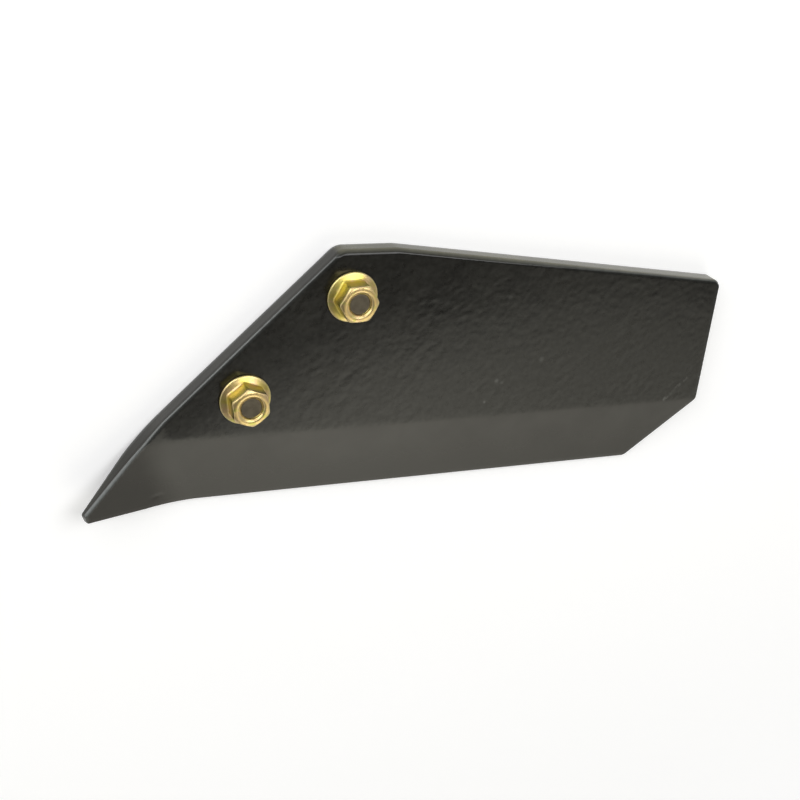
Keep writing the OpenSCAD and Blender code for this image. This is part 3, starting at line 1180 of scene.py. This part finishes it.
@dataclass
class Fasteners(SubAssembly):
    """What the bolts and nuts share: the thread and the steps that it is drawn in. Sizes in millimetres."""

    thread_d: float = 12.0
    thread_depth: float = 0.85
    thread_gap: float = 0.07
    thread_form: Span = (1.7, 0.35)
    pitch: float = 1.75
    nut_h: float = 12.0
    pitch_steps: int = 8
    sides: int = 144
    turns: np.ndarray = field(init=False)

    def __post_init__(self) -> None:
        """Works out the places of the bolts and the turns round them."""
        super().__post_init__()
        self.turns = np.arange(self.sides) * 2 * math.pi / self.sides

    def thread(self, height: float) -> np.ndarray:
        """Radius of the bolt's thread.

        Args:
            height: Height above the underside.

        Returns:
            The radius at each turn.
        """
        phase = np.mod(height / self.pitch - self.turns / (2 * math.pi), 1.0)
        steep, flat = self.thread_form
        form = np.clip(steep * np.abs(2 * phase - 1) - flat, 0.0, 1.0)
        return self.thread_d / 2 - self.thread_gap - self.thread_depth * (1 - form)

    def lathe(self, shell: Shell, centre: np.ndarray, rings: list[Ring]) -> list[np.ndarray]:
        """Adds rings of points about an axis.

        Args:
            shell: Shell to add them to.
            centre: Place of the axis.
            rings: For each ring, its radius and height, or one for each turn, and how worn it is.

        Returns:
            Point numbers of each ring.
        """
        rows = []
        for radius, height, edge in rings:
            r, z = np.broadcast_to(radius, self.sides), np.broadcast_to(height, self.sides)
            x, y = centre[0] + r * np.cos(self.turns), centre[1] + r * np.sin(self.turns)
            rows.append(shell.add(np.column_stack([x, y, z]), edge))
        return rows


@dataclass
class PloughBolts(Fasteners):
    """Two countersunk bolts with square necks. Sizes in millimetres."""

    NAME: ClassVar[str] = "bolts"
    NODE: ClassVar[str] = "plough_bolts"
    SLOT: ClassVar[str] = "dark_steel"

    head_d: float = 24.0
    head_band: float = 1.0
    head_sink: float = 0.3
    head_rings: tuple[float, ...] = (2.0, 6.0, 10.0)
    head_round: tuple[Step, ...] = ((0.35, 0.0, 0.6), (0.1, 0.1, 1.0), (0.0, 0.35, 0.6))
    neck_w: float = 12.0
    neck_gap: float = 0.15
    neck_corner: float = 1.34
    neck_steps: int = 15
    cone_least: float = 0.9
    end_recess: float = 1.0
    end_chamfer: float = 0.9
    end_stop: float = 0.12
    end_wear: float = 0.4
    end_round: tuple[Step, ...] = ((0.02, 0.08, 0.8), (0.2, 0.0, 0.5))
    end_hollow: tuple[Span, ...] = ((4.2, 0.02), (3.2, 0.06), (2.0, 0.12), (1.0, 0.15))
    end_sink: float = 0.16

    def head(self) -> list[Ring]:
        """Rings of the countersunk head and the square neck.

        Returns:
            The rings from the head's flat end upwards.
        """
        head_r, low = self.head_d / 2, self.head_sink
        turned = self.turns - math.radians(self.bolt_line)
        square = self.neck_w / 2 / np.maximum(np.abs(np.cos(turned)), np.abs(np.sin(turned)))
        square = np.minimum(square, self.neck_w / 2 * self.neck_corner)
        rings: list[Ring] = [(r, low, 0.0) for r in self.head_rings]
        rings += [(head_r - way, low + rise, worn) for way, rise, worn in self.head_round]
        cone_base = low + self.head_band
        for height in np.linspace(cone_base, self.plate_t - self.neck_gap, self.neck_steps):
            cone = max(head_r - (height - cone_base), self.thread_d / 2 * self.cone_least)
            rings.append((np.maximum(cone, square), height, 0.0))
        return rings

    def shank(self, end: float) -> list[Ring]:
        """Rings of the threaded shank with its chamfered end.

        Args:
            end: Height of the end.

        Returns:
            The rings from the neck upwards.
        """
        crest = self.thread_d / 2 - self.thread_gap
        chamfer = end - self.end_chamfer
        rings: list[Ring] = []
        for height in np.arange(self.plate_t - self.neck_gap, chamfer, self.pitch / self.pitch_steps):
            rings.append((self.thread(float(height)), height, 0.0))
        for height in np.arange(chamfer, end - self.end_stop, self.pitch / self.pitch_steps / 2):
            cone = crest - (height - end + self.end_chamfer)
            rings.append((np.minimum(self.thread(float(height)), cone), height, self.end_wear))
        root = crest - self.thread_depth
        rings += [(root - way, end - sink, worn) for way, sink, worn in self.end_round]
        return rings + [(r, end - sink, 0.0) for r, sink in self.end_hollow]

    def shape(self, shell: Shell) -> None:
        """Makes both bolts, each closed.

        Args:
            shell: Shell to add them to.
        """
        end = self.plate_t + self.nut_h - self.end_recess
        for centre in self.bolts:
            rows = self.lathe(shell, centre, self.head() + self.shank(end))
            shell.bridge(rows)
            shell.cap(rows[0], np.array([*centre, self.head_sink]))
            shell.cap(rows[-1], np.array([*centre, end - self.end_sink]))


@dataclass
class FlangeNuts(Fasteners):
    """Two hexagon nuts with cone flanges. Sizes in millimetres and degrees."""

    NAME: ClassVar[str] = "nuts"
    NODE: ClassVar[str] = "flange_nuts"
    SLOT: ClassVar[str] = "yellow_zinc"

    across_flats: float = 18.0
    flange_d: float = 26.0
    flange_rim: float = 1.8
    flange_slope: float = 20.0
    crown_d: float = 17.0
    crown_slope: float = 30.0
    crown_round: tuple[Step, ...] = ((-0.9, 0.0, 0.0), (-0.3, 0.05, 0.2), (0.15, 0.17, 0.4))
    crown_lip: float = 0.3
    crown_wear: float = 0.4
    crown_break: tuple[Step, ...] = ((0.08, 0.06, 1.0), (0.0, 0.35, 0.5))
    bore_chamfer: float = 0.7
    bore_round: tuple[Step, ...] = ((-0.6, 0.6, 0.0), (-0.08, 0.1, 0.7), (0.1, 0.0, 0.5))
    bore_start: float = 0.6
    bore_gap: float = 0.06
    corner_round: float = 0.3
    corner_sharp: float = 8.0
    flat_rows: tuple[float, ...] = (0.25, 0.5, 0.75, 1.0)
    fillet: tuple[Span, ...] = ((0.12, 0.25), (0.5, 0.04))
    fillet_rise: float = 0.7
    cone_rows: tuple[float, ...] = (0.35, 0.7, 1.0)
    rim_turns: tuple[float, ...] = (60.0, 30.0, 0.0, -30.0, -60.0, -90.0)
    rim_wear: Span = (0.3, 1.0)
    foot_rings: tuple[float, ...] = (0.9, 0.35)
    hex_turns: Span = (3.0, 40.0)

    def hexagon(self, turn: float) -> np.ndarray:
        """Radius of the hexagon with its corners rounded.

        Args:
            turn: How far the hexagon is turned.

        Returns:
            The radius at each turn.
        """
        off = np.mod(np.degrees(self.turns) - turn, 60.0) - 30.0
        flat = self.across_flats / 2 / np.cos(np.radians(off))
        corner = self.across_flats / 2 / math.cos(math.radians(30)) - self.corner_round
        sharp = self.corner_sharp
        return -np.log(np.exp(-sharp * flat) + math.exp(-sharp * corner)) / sharp

    def crown(self, r: np.ndarray) -> np.ndarray:
        """Returns the height of the crown at each radius."""
        fall = math.tan(math.radians(self.crown_slope))
        return self.plate_t + self.nut_h - np.maximum(r - self.crown_d / 2, 0.0) * fall

    def flange(self, r: np.ndarray) -> np.ndarray:
        """Returns the height of the flange's upper side at each radius."""
        rim_x = (self.flange_d - self.flange_rim) / 2
        return self.plate_t + self.flange_rim + (rim_x - r) * math.tan(math.radians(self.flange_slope))

    def bore(self) -> list[Ring]:
        """Rings of the threaded bore and its chamfered mouth.

        Returns:
            The rings from the foot upwards.
        """
        high, mouth = self.plate_t + self.nut_h, self.thread_d / 2 + self.bore_chamfer
        rings: list[Ring] = []
        start, end = self.plate_t + self.bore_start, high - self.bore_chamfer
        for height in np.arange(start, end, self.pitch / self.pitch_steps):
            rings.append((self.thread(float(height)) + self.bore_gap, height, 0.0))
        return rings + [(mouth + out, high - drop, worn) for out, drop, worn in self.bore_round]

    def flats(self, hexagon: np.ndarray) -> list[Ring]:
        """Rings of the crown and the flats below it.

        Args:
            hexagon: The hexagon's radius at each turn.

        Returns:
            The rings from the bore outwards and down to the fillet.
        """
        high, crown_r, lip = self.plate_t + self.nut_h, self.crown_d / 2, hexagon - self.crown_lip
        rings: list[Ring] = [(crown_r + out, high - drop, worn) for out, drop, worn in self.crown_round]
        rings.append((lip, self.crown(lip), self.crown_wear))
        rings += [(hexagon - way, self.crown(hexagon) - drop, worn) for way, drop, worn in self.crown_break]
        top, foot = rings[-1][1], self.flange(hexagon) + self.fillet_rise
        return rings + [(hexagon, top + (foot - top) * share, 0.0) for share in self.flat_rows]

    def skirt(self, hexagon: np.ndarray) -> list[Ring]:
        """Rings of the fillet, the cone flange with its round rim, and the flat foot.

        Args:
            hexagon: The hexagon's radius at each turn.

        Returns:
            The rings outwards from the flats and back in to the bore.
        """
        rim_r, low = self.flange_rim / 2, self.plate_t
        rim_x = self.flange_d / 2 - rim_r
        (bend, lift), (foot, rest) = self.fillet
        start = hexagon + foot
        rings: list[Ring] = [(hexagon + bend, self.flange(hexagon) + lift, 0.0)]
        rings.append((start, self.flange(start) + rest, 0.0))
        faint, full = self.rim_wear
        for share in self.cone_rows:
            r = start + (rim_x - start) * share
            rings.append((r, self.flange(r), faint * share))
        for degrees in self.rim_turns:
            out, rise = rim_r * heading(degrees)
            rings.append((rim_x + out, low + rim_r + rise, full if degrees >= 0 else faint))
        return rings + [(self.thread_d / 2 + way, low, 0.0) for way in self.foot_rings]

    def shape(self, shell: Shell) -> None:
        """Makes both nuts, each closed.

        Args:
            shell: Shell to add them to.
        """
        for centre, turn in zip(self.bolts, self.hex_turns):
            hexagon = self.hexagon(turn)
            rows = self.lathe(shell, centre, self.bore() + self.flats(hexagon) + self.skirt(hexagon))
            shell.bridge([*rows, rows[0]])


@dataclass(frozen=True)
class SoftLamp:
    """A round lamp: its name, the way to it, how far off and how wide it is in metres, and its power in watts."""

    name: str
    way: Way
    far: float
    wide: float
    power: float


@dataclass
class Studio:
    """Camera, floor and light. The camera's axes are those of the part's frame, and lengths are in metres."""

    eye: Way = (-0.221253, 0.266169, 0.602955)
    right: Way = (0.919262, 0.103699, 0.379742)
    up: Way = (0.072206, 0.903891, -0.421625)
    lens: float = 63.499
    sensor: float = 36.0
    sight: Span = (0.01, 100.0)
    floor_size: float = 12.0
    floor_gap: float = 0.0002
    floor_white: float = 0.84
    floor_lift: float = 0.32
    floor_fade: Span = (0.3, 0.9)
    box_way: Way = (0.4357, -0.6551, 0.6172)
    box_rim: Span = (0.9297, 0.9417)
    box_light: float = 1.9
    box_colour: Colour = (1.0, 0.975, 0.85)
    box_dim: float = 0.45
    box_dim_run: Span = (0.62, 0.27)
    box_stretch: float = 0.011
    box_stretch_run: Span = (0.42, 0.56)
    glow_way: Way = (0.3214, -0.7457, 0.583)
    glow_rim: Span = (0.95, 1.0)
    glow_light: float = 0.15
    ceiling: float = 0.1
    horizon: float = 0.7
    horizon_run: Span = (0.6, 0.25)
    soft_lamps: tuple[SoftLamp, ...] = (
        SoftLamp("key", (0.3, 0.4, 0.86), 2.0, 1.5, 17.5),
        SoftLamp("side", (-0.6, 0.57, 0.56), 2.0, 1.8, 17.5),
    )

    def camera(self) -> None:
        """Adds the camera at the picture's view."""
        data = bpy.data.cameras.new("camera")
        data.lens, data.sensor_width, data.sensor_height = self.lens, self.sensor, self.sensor
        data.clip_start, data.clip_end = self.sight
        made = bpy.data.objects.new("camera", data)
        right, up = Vector(self.right).normalized(), Vector(self.up)
        back = right.cross(up).normalized()
        axes = Matrix((right, back.cross(right), back)).transposed()
        made.matrix_world = Matrix.Translation(self.eye) @ axes.to_4x4()
        bpy.context.scene.collection.objects.link(made)
        bpy.context.scene.camera = made

    def floor(self) -> None:
        """Adds the pale floor, which looks white and keeps the shadow."""
        half = self.floor_size / 2
        mesh = bpy.data.meshes.new("floor")
        corners = [(x, y, -self.floor_gap) for x, y in ((-half, -half), (half, -half), (half, half), (-half, half))]
        mesh.from_pydata(corners, [], [(0, 1, 2, 3)])
        made = bpy.data.objects.new("floor", mesh)
        bpy.context.scene.collection.objects.link(made)
        mesh.materials.append(self.floor_finish())

    def floor_finish(self) -> bpy.types.Material:
        """Makes the floor's finish: matt and lifted near the part, plain white far off.

        Returns:
            The material.
        """
        material, nodes = new_material("pale_floor")
        matt = nodes.add("ShaderNodeBsdfDiffuse", Color=(self.floor_white,) * 3 + (1.0,))
        seen = self.seen(nodes)
        lift = nodes.math("MULTIPLY", seen, self.floor_lift)
        glow, white = (nodes.add("ShaderNodeEmission", Color=(*WHITE, 1.0), Strength=strength).outputs[0]
                       for strength in (lift, 1.0))
        near = nodes.add("ShaderNodeAddShader", i0=matt.outputs[0], i1=glow).outputs[0]
        away = nodes.vector("LENGTH", "Value", i0=nodes.add("ShaderNodeTexCoord").outputs["Object"])
        far = nodes.math("MULTIPLY", seen, nodes.step(away, *self.floor_fade))
        whole = nodes.add("ShaderNodeMixShader", i0=far, i1=near, i2=white).outputs[0]
        nodes.add("ShaderNodeOutputMaterial", Surface=whole)
        return material

    @staticmethod
    def seen(nodes: Nodes) -> Socket:
        """Tells what looks at a surface.

        Args:
            nodes: Nodes to add to.

        Returns:
            1 where the camera, a reflection or glass looks, and 0 for light.
        """
        path = nodes.add("ShaderNodeLightPath").outputs
        mirrored = nodes.math("MAXIMUM", path["Is Glossy Ray"], path["Is Transmission Ray"])
        return nodes.math("MAXIMUM", path["Is Camera Ray"], mirrored)

    def sky(self) -> None:
        """Adds the soft light from all round, with a round soft box in it and white behind."""
        world = bpy.data.worlds.new("studio")
        bpy.context.scene.world = world
        world.use_nodes = True
        world.node_tree.nodes.clear()
        nodes = Nodes(world.node_tree)
        camera = nodes.add("ShaderNodeLightPath").outputs["Is Camera Ray"]
        way = nodes.add("ShaderNodeTexCoord").outputs["Generated"]
        towards, midway = (nodes.vector("DOT_PRODUCT", "Value", i0=way, i1=centre)
                           for centre in (self.box_way, self.glow_way))
        axes = nodes.axes(way)
        box = nodes.math("MULTIPLY_ADD", nodes.step(midway, *self.glow_rim), self.glow_light, self.box_light)
        dimmed = nodes.math("MULTIPLY_ADD", nodes.step(axes["X"], *self.box_dim_run), 1.0 - self.box_dim, self.box_dim)
        low = nodes.step(axes["Z"], *self.horizon_run)
        room = nodes.math("MULTIPLY_ADD", low, self.horizon - self.ceiling, self.ceiling)
        stretched = nodes.step(axes["X"], *self.box_stretch_run)
        inside = nodes.step(nodes.math("MULTIPLY_ADD", stretched, self.box_stretch, towards), *self.box_rim)
        level = nodes.math("MULTIPLY_ADD", inside, nodes.math("MULTIPLY", box, dimmed), room)
        tinted = nodes.math("MULTIPLY", inside, nodes.math("SUBTRACT", 1.0, camera))
        glow = nodes.add("ShaderNodeBackground", Color=nodes.mix(tinted, WHITE, self.box_colour),
                         Strength=nodes.blend(camera, level, 1.0))
        nodes.add("ShaderNodeOutputWorld", Surface=glow.outputs[0])

    def lamps(self) -> None:
        """Adds the lamps above the part."""
        for lamp in self.soft_lamps:
            data = bpy.data.lights.new(lamp.name, "AREA")
            data.shape, data.size, data.energy = "DISK", lamp.wide, lamp.power
            made = bpy.data.objects.new(lamp.name, data)
            way = Vector(lamp.way).normalized()
            made.location = way * lamp.far
            made.rotation_euler = way.to_track_quat("Z", "Y").to_euler()
            bpy.context.scene.collection.objects.link(made)

    def build(self) -> None:
        """Adds everything round the part."""
        self.camera()
        self.floor()
        self.sky()
        self.lamps()
        bpy.context.scene.view_settings.view_transform = "Standard"


def main() -> None:
    """Builds and dresses each piece in order."""
    logging.basicConfig(level=logging.INFO, format="%(name)s: %(message)s")
    Studio().build()
    effects = Effects(grain_group(), wear_group())
    for assembly, finish in ((WingBlade(), BlackPaint()), (PloughBolts(), DarkSteel()), (FlangeNuts(), YellowZinc())):
        piece = assembly.build()
        assembly.dress(piece, finish.material(effects))
        LOG.info("%s stands for %s with %d faces", piece.name, assembly.NODE, len(piece.data.polygons))


if __name__ == "__main__":
    main()
